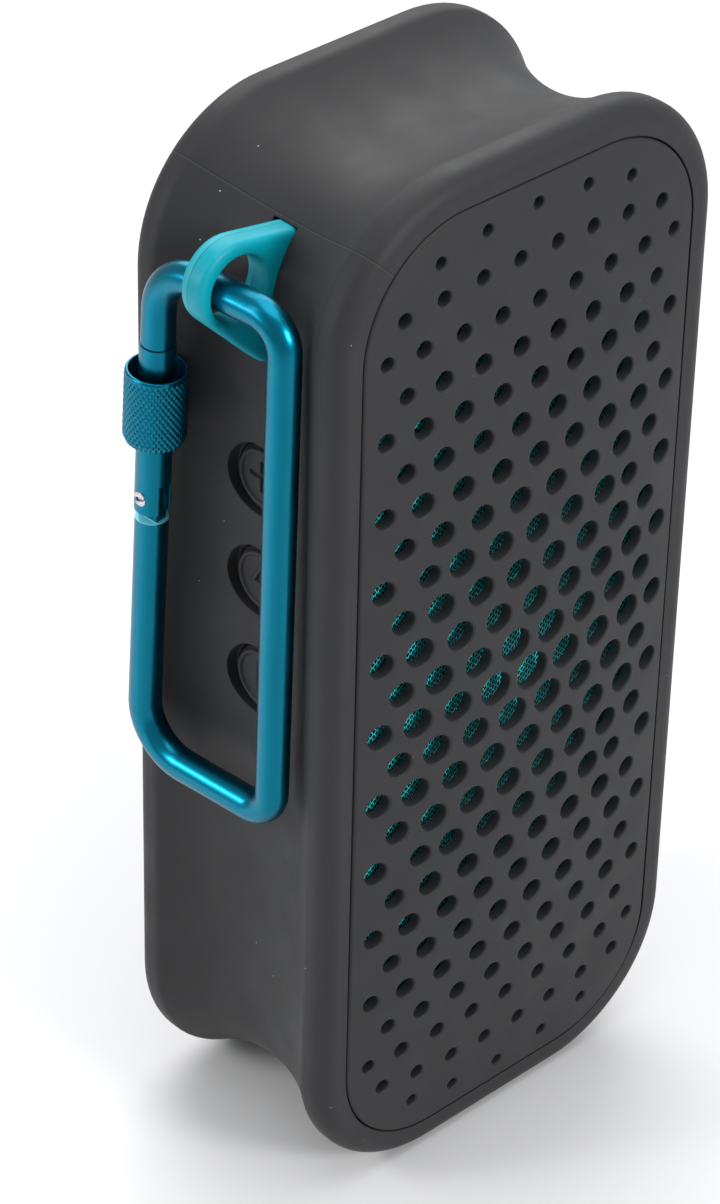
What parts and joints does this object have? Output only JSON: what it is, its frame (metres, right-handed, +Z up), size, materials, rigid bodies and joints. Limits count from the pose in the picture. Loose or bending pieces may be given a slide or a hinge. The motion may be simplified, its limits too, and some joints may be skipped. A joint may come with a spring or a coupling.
{
  "type": "portable bluetooth speaker",
  "caption": "Portable speaker: waisted rubber-skinned housing, domed grille with graded holes, side buttons, and a silicone loop carrying a screw-lock carabiner.",
  "frame": {"origin": "middle of the bounding box's underside, with the speaker standing on its small end", "axes": "+Z up the housing's long side, -Y out of the grille, -X towards the carry loop and buttons"},
  "size_m": [0.0862, 0.0485, 0.18],
  "materials": {
    "shell_rubber": "matte soft-touch",
    "grille_rubber": "matte soft-touch",
    "cover_plastic": "fine grain",
    "black_plastic": "matte",
    "cloth": "open woven mesh",
    "silicone": "satin silicone",
    "anodised": "satin anodised",
    "steel": "bright",
    "plated_steel": "zinc plated",
    "ferrite": "sintered",
    "paper": "pressed pulp",
    "spider_cloth": "impregnated cloth",
    "butyl": "matte",
    "board": "solder mask",
    "component": "moulded",
    "can": "satin",
    "socket": "nylon",
    "port_metal": "satin",
    "light_pipe": "clear",
    "cell_wrap": "shrink film",
    "lead": "insulation",
    "copper": "enamelled winding",
    "button_rubber": "matte silicone"
  },
  "bodies": {
    "housing": {"main_shell": "shell_rubber", "front_grille": "grille_rubber", "grille_cloth": "cloth", "front_baffle": "black_plastic", "rear_cover": "cover_plastic", "cover_gasket": "butyl", "upper_driver_basket": "plated_steel", "upper_driver_top_plate": "plated_steel", "upper_driver_magnet": "ferrite", "upper_driver_yoke": "plated_steel", "lower_driver_basket": "plated_steel", "lower_driver_top_plate": "plated_steel", "lower_driver_magnet": "ferrite", "lower_driver_yoke": "plated_steel", "upper_driver_spider": "spider_cloth", "lower_driver_spider": "spider_cloth", "upper_driver_surround": "butyl", "lower_driver_surround": "butyl", "radiator_frame": "black_plastic", "radiator_surround": "butyl", "main_board": "board", "bluetooth_module": "can", "amplifier_chip": "component", "board_capacitors": "can", "lead_sockets": "socket", "charging_port": "port_metal", "charge_light_pipe": "light_pipe", "battery_cell": "cell_wrap", "battery_cradle": "black_plastic", "upper_speaker_lead": "lead", "lower_speaker_lead": "lead", "battery_lead": "lead", "button_lead": "lead", "button_board": "board", "tact_switches": "component", "carry_loop": "silicone", "cover_screws": "plated_steel", "baffle_screws": "plated_steel", "board_screws": "plated_steel", "button_board_screws": "plated_steel", "loop_anchor_pin": "steel"},
    "upper_cone": {"upper_driver_cone": "paper", "upper_dust_cap": "paper", "upper_voice_coil": "copper"},
    "lower_cone": {"lower_driver_cone": "paper", "lower_dust_cap": "paper", "lower_voice_coil": "copper"},
    "radiator": {"radiator_plate": "black_plastic", "radiator_weight": "plated_steel"},
    "volume_down": {"volume_down_button": "button_rubber"},
    "play": {"play_button": "button_rubber"},
    "volume_up": {"volume_up_button": "button_rubber"},
    "port_flap": {"port_cover": "shell_rubber"},
    "carabiner": {"carabiner_frame": "anodised", "gate_pivot_pin": "steel"},
    "gate": {"carabiner_gate": "anodised", "gate_spring": "steel", "gate_plunger": "steel"},
    "sleeve": {"lock_sleeve": "anodised"}
  },
  "joints": [
    {"name": "volume_down_press", "type": "slide", "parent": "housing", "child": "volume_down", "axis": [1, 0, 0], "range_m": [0, 0.0006], "stiffness_N_per_m": 900, "springref_m": -0.0003},
    {"name": "play_press", "type": "slide", "parent": "housing", "child": "play", "axis": [1, 0, 0], "range_m": [0, 0.0006], "stiffness_N_per_m": 900, "springref_m": -0.0003},
    {"name": "volume_up_press", "type": "slide", "parent": "housing", "child": "volume_up", "axis": [1, 0, 0], "range_m": [0, 0.0006], "stiffness_N_per_m": 900, "springref_m": -0.0003},
    {"name": "carabiner_swing", "type": "hinge", "parent": "housing", "child": "carabiner", "pos_m": [-0.03728, 0.00195, 0.1621], "axis": [-0.0785, 0.9969, 0], "range_deg": [-0.5, 170]},
    {"name": "gate_hinge", "type": "hinge", "parent": "carabiner", "child": "gate", "pos_m": [-0.03833, 0.01526, 0.1218], "axis": [0.9969, 0.0785, 0], "range_deg": [0, 25], "stiffness_Nm_per_rad": 0.05, "springref_deg": -20.05},
    {"name": "sleeve_slide", "type": "slide", "parent": "gate", "child": "sleeve", "axis": [0.004, -0.0504, 0.9987], "range_m": [-0.003, 0.0075]},
    {"name": "port_cover_hinge", "type": "hinge", "parent": "housing", "child": "port_flap", "pos_m": [0.03727, 0.00235, 0.0753], "axis": [0, -1, 0], "range_deg": [0, 100], "stiffness_Nm_per_rad": 0.002, "springref_deg": -11.46},
    {"name": "upper_cone_travel", "type": "slide", "parent": "housing", "child": "upper_cone", "axis": [0, 1, 0], "range_m": [-0.0012, 0.0012], "stiffness_N_per_m": 1500, "deforming": ["upper_driver_surround", "upper_driver_spider"]},
    {"name": "lower_cone_travel", "type": "slide", "parent": "housing", "child": "lower_cone", "axis": [0, 1, 0], "range_m": [-0.0012, 0.0012], "stiffness_N_per_m": 1500, "deforming": ["lower_driver_surround", "lower_driver_spider"]},
    {"name": "radiator_travel", "type": "slide", "parent": "housing", "child": "radiator", "axis": [0, 1, 0], "range_m": [-0.0015, 0.0015], "stiffness_N_per_m": 1200, "deforming": ["radiator_surround"]}
  ]
}
